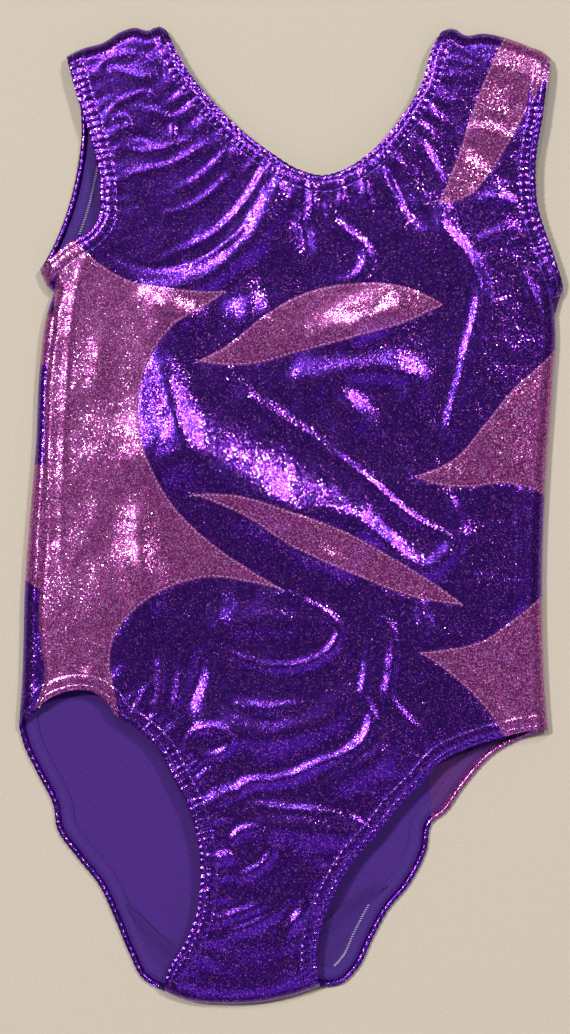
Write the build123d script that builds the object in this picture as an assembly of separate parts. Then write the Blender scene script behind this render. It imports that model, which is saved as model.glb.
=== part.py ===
"""Child's sleeveless gymnastics leotard, lying flat with its front up.

X runs across the garment, Y runs up towards the shoulders and Z stands out of the surface that it lies on.
The origin is at the middle of the lying garment, on that surface.

The garment is two layers of foil spandex. The back panel lies flat. The front panel and its insets stand
over it as a low dome, and the back panel's folded edges close the two layers together at the shoulders,
the sides and the crotch. The neck, the arms and the legs stay open. Each opening is edged by a hem: the
panel's own fabric turned in round a closed loop of elastic, and stitched down with two rows of thread.
"""
from build123d import *
import os

os.makedirs("parts", exist_ok=True)

# Driving dimensions, in millimetres
HALF_WIDTH = 139.5
HALF_LENGTH = 250.5
FABRIC = 0.8  # one layer of foil spandex
ELASTIC = 0.8  # thickness of the elastic in a hem
LINING = 0.6
HEM_WIDTH = 9.5
FOLD_HEIGHT = 8.0  # height of the front's surface at a folded edge
CROWN = 5.5  # how much higher the front stands in the middle
STITCH_WIDTH = 0.6
STITCH_PROUD = 0.3
STITCH_ROWS = (2.7, 7.9)  # distance of each row from the edge of a hem
SEAM_ALLOWANCE = 5.0
SEAM_THICK = 1.0
SURFACE_STEP = 15.0  # spacing of the points that define the domed surface
MARGIN = 12.0  # how far cutting shapes run past the garment
OUTSIDE = -3.0  # a band that starts this far outside an edge covers the edge itself
BAND_STEPS = 24  # points along the offset edge of a band
SHOULDER_STEPS = 6  # fewer on the bumpy shoulders, so that the offset stays smooth

HEM_DEPTH = 2 * FABRIC + ELASTIC

# The outline of the upper layer, run by run, clockwise from the left shoulder
LEFT_SHOULDER = [
    (-115, 235), (-106, 239.5), (-97, 242), (-87, 248), (-80, 250), (-73.5, 248.5), (-67, 250.5), (-62.5, 246),
]
NECK = [
    (-62.5, 246), (-54, 229), (-42, 213.5), (-28, 199), (-10, 185), (4, 176.5), (16, 173.5), (30, 178),
    (43, 187.5), (59, 207), (67, 221), (72, 238), (77, 247.5),
]
RIGHT_SHOULDER = [(77, 247.5), (82, 249.5), (90, 246), (98, 247), (111, 244.5), (123, 240), (130, 237), (133, 234)]
RIGHT_ARM = [
    (133, 234), (131, 222), (128.5, 203), (125.5, 185), (125, 172), (126, 159), (129, 148), (133, 137),
    (139.5, 117),
]
RIGHT_UNDERARM = [(139.5, 117), (138.5, 113), (134.5, 110)]
RIGHT_SIDE = [(134.5, 110), (135.7, 95), (134, 65), (131, 22), (129, -20), (129.2, -62), (130.5, -91), (132, -110)]
RIGHT_LEG = [
    (132, -110), (122, -110.5), (106, -114), (89, -119.5), (77, -125.5), (66, -137.5), (54, -150), (44, -163),
    (33, -175), (24, -190), (17, -206), (13.5, -220), (15, -241.5),
]
CROTCH = [(15, -241.5), (0, -246.5), (-16, -249.7), (-35, -250.5), (-52, -249), (-65, -244)]
LEFT_LEG = [
    (-65, -244), (-63, -234), (-54, -219), (-48.5, -205), (-46, -186), (-47, -170), (-51.5, -152), (-60, -134),
    (-70, -117), (-80, -108.5), (-90, -102), (-94, -95.5), (-101, -90.5), (-111, -89.5), (-122, -93),
    (-131, -99.5), (-139.5, -108),
]
LEFT_SIDE = [(-139.5, -108), (-138, -85), (-136.5, -35), (-134, 0), (-131, 35), (-129, 75), (-125.5, 102), (-121.5, 114)]
LEFT_UNDERARM = [(-121.5, 114), (-127, 121), (-128.5, 126)]
LEFT_ARM = [
    (-128.5, 126), (-122, 132), (-112, 140), (-103, 145), (-98.5, 151), (-97.5, 163), (-99, 178), (-103, 194),
    (-109, 213), (-115, 235),
]

# The openings' edges on the back panel, in the same sense
BACK_NECK = [
    (-62.5, 246), (-57, 222), (-46, 194), (-28, 168), (-8, 154), (12, 150), (34, 156), (54, 176), (67, 203),
    (73, 226), (77, 247.5),
]
BACK_RIGHT_ARM = [
    (133, 234), (128, 218), (124, 200), (120.5, 184), (119.5, 170), (121.5, 157), (126, 145), (132.5, 132),
    (139.5, 117),
]
BACK_RIGHT_LEG = [
    (132, -110), (119, -114.5), (105, -122), (88, -140.5), (79, -153), (72.5, -158), (69.5, -172), (60, -190.5),
    (50, -202.5), (42, -217), (34, -233), (26, -240.5), (15, -241.5),
]
BACK_LEFT_LEG = [
    (-65, -244), (-76, -238), (-83, -225), (-90.5, -207), (-98.5, -190), (-110, -175.5), (-120, -161),
    (-122, -149), (-130.5, -132), (-137.5, -117), (-139.5, -108),
]
BACK_LEFT_ARM = [
    (-128.5, 126), (-121, 140), (-114.5, 157), (-109.5, 178), (-107.5, 196), (-108.5, 212), (-115, 235),
]

# The seam between the front and the part of the back that comes round the left fold
LEFT_SEAM = [
    (-120, 122), (-121.3, 108), (-122, 92), (-125, 70), (-126, 27), (-127, -20), (-129, -56), (-126.5, -86),
    (-134, -106), (-137, -116),
]

# Insets of the front: closed outlines. Straight runs go past the garment's edge and are trimmed by it.
SIDE_INSET = [
    [(-118, 146), (-108, 137.5), (-97, 128), (-84, 120.5), (-62, 116), (-33, 114.5)],
    [(-33, 114.5), (-43, 107), (-59, 97.5), (-71, 82), (-77.5, 62), (-77, 42), (-71, 24), (-58.5, 3), (-39.5, -15),
     (-19, -29), (-3, -38.5)],
    [(-3, -38.5), (-19, -35), (-42, -32), (-63, -37.5), (-80, -49), (-90, -62), (-92.5, -75), (-89.5, -92),
     (-87, -112)],
    [(-87, -112), (-150, -112)],
    [(-150, -112), (-150, 146)],
    [(-150, 146), (-118, 146)],
]
CHEST_LEAF = [
    [(-49, 78.5), (-33, 86.5), (-15, 101), (6, 113), (34, 118.5), (57, 117), (78, 107.5)],
    [(78, 107.5), (59, 98.5), (34, 91), (4, 83), (-22, 76.5), (-49, 78.5)],
]
WAIST_LEAF = [
    [(-52, 10.5), (-30, 10.5), (0, 2), (27, -8), (51, -21), (72, -34), (88.5, -46)],
    [(88.5, -46), (62, -42), (32, -30.5), (0, -16), (-25, 0), (-52, 10.5)],
]
FLANK_INSET = [
    [(142, 92), (129, 78.5), (113, 64), (98, 45.5), (84, 29.5), (62, 20)],
    [(62, 20), (74, 15.5), (90, 14), (109, 16), (127, 11.5), (142, 2)],
    [(142, 2), (142, 92)],
]
HIP_INSET = [
    [(142, -30), (127, -42.5), (112, -54.5), (98, -64), (82, -68), (65, -70)],
    [(65, -70), (82, -82), (99, -98.5), (110, -114)],
    [(110, -114), (142, -114)],
    [(142, -114), (142, -30)],
]
SHOULDER_INSET = [
    [(113, 252), (102, 230), (92.5, 206), (84.5, 182), (75, 159)],
    [(75, 159), (91, 163), (103, 176.5), (115, 196.5), (126, 216.5), (137, 240)],
    [(137, 240), (137, 252)],
    [(137, 252), (113, 252)],
]

# Insets of the back, seen from the front's side. Two come round the left fold, one reaches the right leg.
BACK_UPPER_INSET = [
    [(-150, 102.5), (-122, 102.5), (-92, 98), (-60, 82)],
    [(-60, 82), (-92, 79), (-122, 77), (-150, 77)],
    [(-150, 77), (-150, 102.5)],
]
BACK_LOWER_INSET = [
    [(-150, 25), (-122, 25), (-86, 14), (-52, -10)],
    [(-52, -10), (-88, -18), (-127, -38), (-150, -15)],
    [(-150, -15), (-150, 25)],
]
BACK_HIP_INSET = [
    [(142, -40), (118, -62), (90, -80), (58, -92)],
    [(58, -92), (68, -120), (72, -165)],
    [(72, -165), (142, -165)],
    [(142, -165), (142, -40)],
]

# The free upper edge of the lining, and a frame below it
LINING_EDGE = [(-95, -190), (-80, -203), (-58, -222), (-20, -228), (16, -210), (32, -196), (46, -190), (60, -196)]
LINING_FRAME = [(60, -196), (60, -262), (-95, -262), (-95, -190)]


def curve(points):
    """A smooth line through the points, or a straight one through two."""
    if len(points) == 2:
        return Line(*points)
    return Spline(*points)


def region(runs):
    """The flat area inside a closed ring of runs."""
    return make_face(Curve() + [curve(points) for points in runs])


def shifted(line, distance, steps):
    """Points along a line, moved to its right by a distance, with both ends run on straight."""
    moved = []
    for step in range(steps + 1):
        at = step / steps
        along = line % at
        moved.append(line @ at + Vector(along.Y, -along.X) * distance)
    first = moved[0] - (line % 0) * MARGIN / 2
    last = moved[-1] + (line % 1) * MARGIN / 2
    return [first] + moved + [last]


def band(points, near, far, steps=BAND_STEPS):
    """The strip between two distances to the right of an outline's run."""
    line = curve(points)
    inner = shifted(line, near, steps)
    outer = shifted(line, far, steps)
    return make_face(
        Curve() + [Spline(*inner), Line(inner[-1], outer[-1]), Spline(*outer), Line(outer[0], inner[0])]
    )


def joined(areas):
    """Several flat areas as one."""
    total = areas[0]
    for area in areas[1:]:
        total = total + area
    return total


def surface_height(x, y):
    """Height of the front's outer surface: a low dome over the whole garment."""
    across = 1 - (x / (HALF_WIDTH + MARGIN)) ** 4
    along = 1 - (y / (HALF_LENGTH + MARGIN)) ** 6
    return FOLD_HEIGHT + CROWN * across * along


def domed_surface():
    """The front's outer surface as one face, a little larger than the garment."""
    columns = round(2 * (HALF_WIDTH + MARGIN) / SURFACE_STEP)
    rows = round(2 * (HALF_LENGTH + MARGIN) / SURFACE_STEP)
    grid = []
    for column in range(columns + 1):
        x = (2 * column / columns - 1) * (HALF_WIDTH + MARGIN)
        line = []
        for row in range(rows + 1):
            y = (2 * row / rows - 1) * (HALF_LENGTH + MARGIN)
            line.append((x, y, surface_height(x, y)))
        grid.append(line)
    return Face.make_surface_from_array_of_points(grid)


SURFACE = domed_surface()


def layer(drop, thickness):
    """A sheet that follows the domed surface, its top at a depth below it."""
    return extrude(Pos(0, 0, -drop) * SURFACE, amount=thickness, dir=(0, 0, -1))


def upright(area, bottom):
    """A tall prism over an area, from a height up."""
    return extrude(Pos(0, 0, bottom) * area, amount=2 * (FOLD_HEIGHT + CROWN))


def over(area, drop, thickness):
    """A sheet over an area that follows the domed surface."""
    return layer(drop, thickness) & upright(area, -1)


def column(area, bottom, drop):
    """A wall over an area, from a flat height up to a depth below the domed surface."""
    return layer(drop, 4 * (FOLD_HEIGHT + CROWN)) & upright(area, bottom)


def flat(area, bottom, thickness):
    """A flat sheet over an area."""
    return extrude(Pos(0, 0, bottom) * area, amount=thickness)


def is_empty(shape):
    """Whether nothing is left of a shape."""
    return shape is None or not shape.faces()


def less(area, *others):
    """An area without some others."""
    for other in others:
        if not is_empty(area):
            area = area - other
    return area


def solids_of(shapes):
    """Every solid of some shapes, touching ones joined."""
    total = None
    for shape in shapes:
        if not is_empty(shape):
            total = shape if total is None else total + shape
    return total


def write(name, *shapes):
    """One node: its solids in one file."""
    body = solids_of(shapes)
    export_step(Compound(children=list(body.solids())), f"parts/{name}.step")


# Areas of the two layers
SHOULDERS = {"left": LEFT_SHOULDER, "right": RIGHT_SHOULDER}
FOLDS = [LEFT_SHOULDER, RIGHT_SHOULDER, RIGHT_UNDERARM, RIGHT_SIDE, CROTCH, LEFT_SIDE, LEFT_UNDERARM]
OPENINGS = {
    "neck": (NECK, BACK_NECK),
    "left_arm": (LEFT_ARM, BACK_LEFT_ARM),
    "right_arm": (RIGHT_ARM, BACK_RIGHT_ARM),
    "left_leg": (LEFT_LEG, BACK_LEFT_LEG),
    "right_leg": (RIGHT_LEG, BACK_RIGHT_LEG),
}

upper = region([
    LEFT_SHOULDER, NECK, RIGHT_SHOULDER, RIGHT_ARM, RIGHT_UNDERARM, RIGHT_SIDE, RIGHT_LEG, CROTCH, LEFT_LEG,
    LEFT_SIDE, LEFT_UNDERARM, LEFT_ARM,
])
lower = region([
    LEFT_SHOULDER, BACK_NECK, RIGHT_SHOULDER, BACK_RIGHT_ARM, RIGHT_UNDERARM, RIGHT_SIDE, BACK_RIGHT_LEG, CROTCH,
    BACK_LEFT_LEG, LEFT_SIDE, LEFT_UNDERARM, BACK_LEFT_ARM,
])
left_of_seam = make_face(
    Curve() + [
        curve(LEFT_SEAM),
        Polyline(LEFT_SEAM[-1], (-160, LEFT_SEAM[-1][1]), (-160, LEFT_SEAM[0][1]), LEFT_SEAM[0]),
    ]
)
wrap = upper & left_of_seam
front = upper - left_of_seam

folded_edge = joined([band(run, OUTSIDE, FABRIC) for run in FOLDS])
link_zone = joined([band(run, OUTSIDE, FABRIC + ELASTIC) for run in FOLDS])
walls = folded_edge & upper & lower

upper_hems = {}
lower_hems = {}
for opening, (front_edge, back_edge) in OPENINGS.items():
    upper_hems[opening] = band(front_edge, OUTSIDE, HEM_WIDTH) & upper
    lower_hems[opening] = band(back_edge, OUTSIDE, HEM_WIDTH) & lower
upper_rims = joined([band(edges[0], OUTSIDE, FABRIC) for edges in OPENINGS.values()]) & upper
lower_rims = joined([band(edges[1], OUTSIDE, FABRIC) for edges in OPENINGS.values()]) & lower
all_upper_hems = joined(list(upper_hems.values()))
all_lower_hems = joined(list(lower_hems.values()))


def upper_piece(area):
    """Part of the upper layer: the sheet, and its hems turned in under it."""
    turned = less(area & all_upper_hems, link_zone)
    rim = less(area & upper_rims, link_zone)
    pieces = [over(area, 0, FABRIC)]
    if not is_empty(turned):
        pieces.append(over(turned, FABRIC + ELASTIC, FABRIC))
    if not is_empty(rim):
        pieces.append(over(rim, FABRIC, ELASTIC))
    return pieces


def lower_piece(area):
    """Part of the back: the flat sheet, its folded edges standing up, and its hems turned in over it."""
    fold = area & walls
    turned = less(area & all_lower_hems, link_zone)
    rim = less(area & lower_rims, link_zone)
    pieces = [flat(area, 0, FABRIC)]
    if not is_empty(fold):
        pieces.append(column(fold, FABRIC, FABRIC))
    if not is_empty(turned):
        pieces.append(flat(turned, FABRIC + ELASTIC, FABRIC))
    if not is_empty(rim):
        pieces.append(flat(rim, FABRIC, ELASTIC))
    return pieces


FRONT_INSETS = {
    "front_side_inset": SIDE_INSET,
    "front_chest_leaf": CHEST_LEAF,
    "front_waist_leaf": WAIST_LEAF,
    "front_flank_inset": FLANK_INSET,
    "front_hip_inset": HIP_INSET,
    "front_shoulder_inset": SHOULDER_INSET,
}
BACK_INSETS = {
    "back_upper_inset": BACK_UPPER_INSET,
    "back_lower_inset": BACK_LOWER_INSET,
    "back_hip_inset": BACK_HIP_INSET,
}

front_ground = front
for name, runs in FRONT_INSETS.items():
    inset = region(runs)
    write(name, *upper_piece(inset & front))
    front_ground = front_ground - inset
write("front_body", *upper_piece(front_ground))

back_ground = lower
wrap_ground = wrap
for name, runs in BACK_INSETS.items():
    inset = region(runs)
    pieces = lower_piece(inset & lower)
    round_fold = inset & wrap
    if not is_empty(round_fold):
        pieces += upper_piece(round_fold)
    write(name, *pieces)
    back_ground = back_ground - inset
    wrap_ground = wrap_ground - inset
write("back_body", *lower_piece(back_ground), *upper_piece(wrap_ground))

for opening in OPENINGS:
    upper_loop = less(upper_hems[opening], upper_rims, folded_edge)
    lower_loop = less(lower_hems[opening], lower_rims, folded_edge)
    link = upper_loop & lower_loop & link_zone
    write(
        f"{opening}_elastic",
        over(upper_loop, FABRIC, ELASTIC),
        flat(lower_loop, FABRIC, ELASTIC),
        column(link, FABRIC + ELASTIC, FABRIC + ELASTIC),
    )

for opening, (front_edge, back_edge) in OPENINGS.items():
    rows = []
    for row in STITCH_ROWS:
        front_row = band(front_edge, row, row + STITCH_WIDTH) & upper
        back_row = less(band(back_edge, row, row + STITCH_WIDTH) & lower, link_zone)
        rows.append(over(front_row, -STITCH_PROUD, STITCH_PROUD))
        rows.append(flat(back_row, HEM_DEPTH, STITCH_PROUD))
    write(f"{opening}_topstitch", *rows)

left_seam_band = band(LEFT_SEAM, -SEAM_ALLOWANCE / 2, SEAM_ALLOWANCE / 2)
SEAMS = {
    "left_shoulder_seam": band(LEFT_SHOULDER, OUTSIDE, SEAM_ALLOWANCE, SHOULDER_STEPS),
    "right_shoulder_seam": band(RIGHT_SHOULDER, OUTSIDE, SEAM_ALLOWANCE, SHOULDER_STEPS),
    "left_side_seam": left_seam_band,
    "right_side_seam": band(RIGHT_SIDE, OUTSIDE, SEAM_ALLOWANCE),
    "crotch_seam": band(CROTCH, OUTSIDE, SEAM_ALLOWANCE),
}
for name, allowance in SEAMS.items():
    write(name, over(less(allowance & upper, all_upper_hems, folded_edge), FABRIC, SEAM_THICK))

below_lining_edge = make_face(Curve() + [curve(LINING_EDGE), Polyline(*LINING_FRAME)])
lining = less(below_lining_edge & lower, all_lower_hems, folded_edge)
write("crotch_lining", flat(lining, FABRIC, LINING))
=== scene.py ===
"""The look of a child's sleeveless gymnastics leotard, lying flat with its front up.

Outlines and folds are in millimetres, in the plane of the lying garment: X to the right, Y to the shoulders.
Each panel is a fine triangle mesh cut along its seams. The front's height is a low dome with rounded sides,
folds placed one by one, gathers that the elastic pulls in, grooves at the seams and a fine crumple.
"""
import math

import bpy
import numpy as np
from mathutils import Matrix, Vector, geometry, kdtree, noise


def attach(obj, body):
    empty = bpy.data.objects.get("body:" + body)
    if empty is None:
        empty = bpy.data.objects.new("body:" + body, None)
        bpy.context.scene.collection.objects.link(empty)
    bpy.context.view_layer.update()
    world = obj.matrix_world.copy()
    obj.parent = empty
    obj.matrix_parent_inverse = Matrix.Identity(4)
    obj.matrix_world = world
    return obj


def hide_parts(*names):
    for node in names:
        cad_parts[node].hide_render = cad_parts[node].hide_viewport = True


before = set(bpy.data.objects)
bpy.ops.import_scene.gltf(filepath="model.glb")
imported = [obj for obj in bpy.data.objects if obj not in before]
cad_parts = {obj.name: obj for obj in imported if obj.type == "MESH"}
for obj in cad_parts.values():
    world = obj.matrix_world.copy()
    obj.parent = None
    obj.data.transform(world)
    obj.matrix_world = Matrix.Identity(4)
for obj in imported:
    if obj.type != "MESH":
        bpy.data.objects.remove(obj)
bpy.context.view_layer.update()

MM = 0.001
HALF_WIDTH = 139.5  # of the garment as it lies
HALF_LENGTH = 250.5
FABRIC = 0.8  # thickness of the panels' cloth
LINING = 0.6  # and of the lining's
HEM_WIDTH = 9.5
HEM_OVERLAP = 0.9  # how far a panel runs on under its hem
FOLD_HEIGHT = 8.0  # how thick the garment lies at its folded edges
CROWN = 5.5  # how much higher its middle is
MARGIN = 12.0  # how far lines and the dome run on
BEYOND = 4.0  # how far outside an edge the band round its hem starts
FOLD_RADIUS = 7.5  # how far in from a folded edge its rounding reaches
LINING_CURL = (2.0, 5.0)  # how far the lining's free edge stands off, and the half width of that
LINING_GAP = 0.2  # between the lining and the back panel
FADED_ENDS = 0.12  # share of its half wave that is cut off at each end of a fold
CRUMPLE = [(0.7, 38, 1.5), (0.35, 13, 4.5), (0.07, 4, 7.5)]  # height, size and seed of the front's noises

FINE = 0.4  # spacing of the points that stand for a line
STRIDE = 3  # a mesh edge along a line spans this many of them
GRIDS = ((1.25, 2.0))  # spacing of the mesh inside the front and the back
CURL_DEPTHS = (0.3, 0.9, 1.8, 3.1, 4.6)  # rows of mesh points beside a folded edge
CLEAR = 0.25  # least distance from those to other mesh edges
HEM_STEP = 0.55  # spacing of the mesh along a hem
HEM_SETTLED = 16  # hem steps over which a slanting end evens out
SHORTEST_HEM = 8  # no piece of a hem has fewer steps
ELASTIC_CUT = 8  # hem steps by which an elastic stops short of a folded edge

PUCKER = 3.5  # from one pucker of a hem to the next
BEAD = 0.17  # half height of a pucker
SCALLOP = 0.35  # how far the puckers push a hem's edge in and out
SCALLOP_REACH = 1.5  # and how far in from the edge that reaches
STITCH_DEPTHS = (3.0, 8.2)  # how far in from the edge a hem's two rows of stitches are
STITCH_LENGTH = 2.5
STITCH_PITCH = 3.1
STITCH_START = 1.5  # how far from the ends of a row its stitches stop
THREAD_RADIUS = 0.22
INSET_STITCH = 1.2  # length of the stitches along an inset's edge
INSET_PITCH = 2.3  # from one of them to the next
INSET_ROW = 0.9  # how far in from the edge they are
LADDER_STRIDE = 2  # hem steps from one rung of the ladder of stitches to the next
SEAM_DEPTHS = (2.2, 6.6)  # how far in from its edge a seam's allowance starts and ends
SEAM_LEVELS = (1.3, 2.2)  # how far its top and underside are below the front's surface
SEAM_RIPPLE = (0.15, 1.8)  # height and length of the ripple along it

LIGHT_DISTANCE = 10.0
LAMP_WHITE = (1.0, 0.97, 0.98)
VIOLET = (0.6, 0.4, 1.0)
FLOOR_REACH = 3.0  # metres, as the camera's height
CAMERA_HEIGHT = 2.0
CAMERA_OVER = (-3.07, -1.02)  # the point of the garment's plane in the middle of the picture

# ==== Outline of the garment, run by run, clockwise
LEFT_SHOULDER = [
    (-115, 235), (-106, 239.5), (-97, 242), (-87, 248), (-80, 250), (-73.5, 248.5), (-67, 250.5),
    (-62.5, 246),
]
NECK = [
    (-62.5, 246), (-54, 229), (-42, 213.5), (-28, 199), (-10, 185), (4, 176.5), (16, 173.5), (30, 178),
    (43, 187.5), (59, 207), (67, 221), (72, 238), (77, 247.5),
]
RIGHT_SHOULDER = [
    (77, 247.5), (82, 249.5), (90, 246), (98, 247), (111, 244.5), (123, 240), (130, 237), (133, 234),
]
RIGHT_ARM = [
    (133, 234), (131, 222), (128.5, 203), (125.5, 185), (125, 172), (126, 159), (129, 148), (133, 137),
    (139.5, 117),
]
RIGHT_UNDERARM = [(139.5, 117), (138.5, 113), (134.5, 110)]
RIGHT_SIDE = [
    (134.5, 110), (135.7, 95), (134, 65), (131, 22), (129, -20), (129.2, -62), (130.5, -91), (132, -110),
]
RIGHT_LEG = [
    (132, -110), (122, -110.5), (106, -114), (89, -119.5), (77, -125.5), (66, -137.5), (54, -150), (44, -163),
    (33, -175), (24, -190), (17, -206), (13.5, -220), (15, -241.5),
]
CROTCH = [(15, -241.5), (0, -246.5), (-16, -249.7), (-35, -250.5), (-52, -249), (-65, -244)]
LEFT_LEG = [
    (-65, -244), (-63, -234), (-54, -219), (-48.5, -205), (-46, -186), (-47, -170), (-51.5, -152),
    (-60, -134), (-70, -117), (-80, -108.5), (-90, -102), (-94, -95.5), (-101, -90.5), (-111, -89.5),
    (-122, -93), (-131, -99.5), (-139.5, -108),
]
LEFT_SIDE = [
    (-139.5, -108), (-138, -85), (-136.5, -35), (-134, 0), (-131, 35), (-129, 75), (-125.5, 102),
    (-121.5, 114),
]
LEFT_UNDERARM = [(-121.5, 114), (-127, 121), (-128.5, 126)]
LEFT_ARM = [
    (-128.5, 126), (-122, 132), (-112, 140), (-103, 145), (-98.5, 151), (-97.5, 163), (-99, 178), (-103, 194),
    (-109, 213), (-115, 235),
]

# The openings' edges on the back panel, in the same sense
BACK_NECK = [
    (-62.5, 246), (-57, 222), (-46, 194), (-28, 168), (-8, 154), (12, 150), (34, 156), (54, 176), (67, 203),
    (73, 226), (77, 247.5),
]
BACK_RIGHT_ARM = [
    (133, 234), (128, 218), (124, 200), (120.5, 184), (119.5, 170), (121.5, 157), (126, 145), (132.5, 132),
    (139.5, 117),
]
BACK_RIGHT_LEG = [
    (132, -110), (119, -114.5), (105, -122), (88, -140.5), (79, -153), (72.5, -158), (69.5, -172),
    (60, -190.5), (50, -202.5), (42, -217), (34, -233), (26, -240.5), (15, -241.5),
]
BACK_LEFT_LEG = [
    (-65, -244), (-76, -238), (-83, -225), (-90.5, -207), (-98.5, -190), (-110, -175.5), (-120, -161),
    (-122, -149), (-130.5, -132), (-137.5, -117), (-139.5, -108),
]
BACK_LEFT_ARM = [
    (-128.5, 126), (-121, 140), (-114.5, 157), (-109.5, 178), (-107.5, 196), (-108.5, 212), (-115, 235),
]

# The seam between the front and the part of the back that comes round the left fold
LEFT_SEAM = [
    (-120, 122), (-121.3, 108), (-122, 92), (-125, 70), (-126, 27), (-127, -20), (-129, -56), (-126.5, -86),
    (-134, -106), (-137, -116),
]

# The free upper edge of the lining
LINING_EDGE = [
    (-95, -190), (-80, -203), (-58, -222), (-20, -228), (16, -210), (32, -196), (46, -190), (60, -196),
]



def closed(runs, *corners):
    """Smooth runs, and straight ones back to their start through corners beyond the garment's edge."""
    path = [runs[-1][-1], *corners, runs[0][0]]
    return [*runs, *zip(path, path[1:])]


# Insets: closed outlines in smooth runs
FRONT_INSETS = {
    "front_side_inset": closed([
        [(-118, 146), (-108, 137.5), (-97, 128), (-84, 120.5), (-62, 116), (-33, 114.5)],
        [(-33, 114.5), (-43, 107), (-59, 97.5), (-71, 82), (-77.5, 62), (-77, 42), (-71, 24), (-58.5, 3),
         (-39.5, -15), (-19, -29), (-3, -38.5)],
        [(-3, -38.5), (-19, -35), (-42, -32), (-63, -37.5), (-80, -49), (-90, -62), (-92.5, -75),
         (-89.5, -92), (-87, -112)],
    ], (-150, -112), (-150, 146)),
    "front_chest_leaf": [
        [(-49, 78.5), (-33, 86.5), (-15, 101), (6, 113), (34, 118.5), (57, 117), (78, 107.5)],
        [(78, 107.5), (59, 98.5), (34, 91), (4, 83), (-22, 76.5), (-49, 78.5)],
    ],
    "front_waist_leaf": [
        [(-52, 10.5), (-30, 10.5), (0, 2), (27, -8), (51, -21), (72, -34), (88.5, -46)],
        [(88.5, -46), (62, -42), (32, -30.5), (0, -16), (-25, 0), (-52, 10.5)],
    ],
    "front_flank_inset": closed([
        [(142, 92), (129, 78.5), (113, 64), (98, 45.5), (84, 29.5), (62, 20)],
        [(62, 20), (74, 15.5), (90, 14), (109, 16), (127, 11.5), (142, 2)],
    ]),
    "front_hip_inset": closed([
        [(142, -30), (127, -42.5), (112, -54.5), (98, -64), (82, -68), (65, -70)],
        [(65, -70), (82, -82), (99, -98.5), (110, -114)],
    ], (142, -114)),
    "front_shoulder_inset": closed([
        [(113, 252), (102, 230), (92.5, 206), (84.5, 182), (75, 159)],
        [(75, 159), (91, 163), (103, 176.5), (115, 196.5), (126, 216.5), (137, 240)],
    ], (137, 252)),
}
BACK_INSETS = {
    "back_upper_inset": closed([
        [(-150, 102.5), (-122, 102.5), (-92, 98), (-60, 82)],
        [(-60, 82), (-92, 79), (-122, 77), (-150, 77)],
    ]),
    "back_lower_inset": closed([
        [(-150, 25), (-122, 25), (-86, 14), (-52, -10)],
        [(-52, -10), (-88, -18), (-127, -38), (-150, -15)],
    ]),
    "back_hip_inset": closed([
        [(142, -40), (118, -62), (90, -80), (58, -92)],
        [(58, -92), (68, -120), (72, -165)],
    ], (142, -165)),
}

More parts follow.
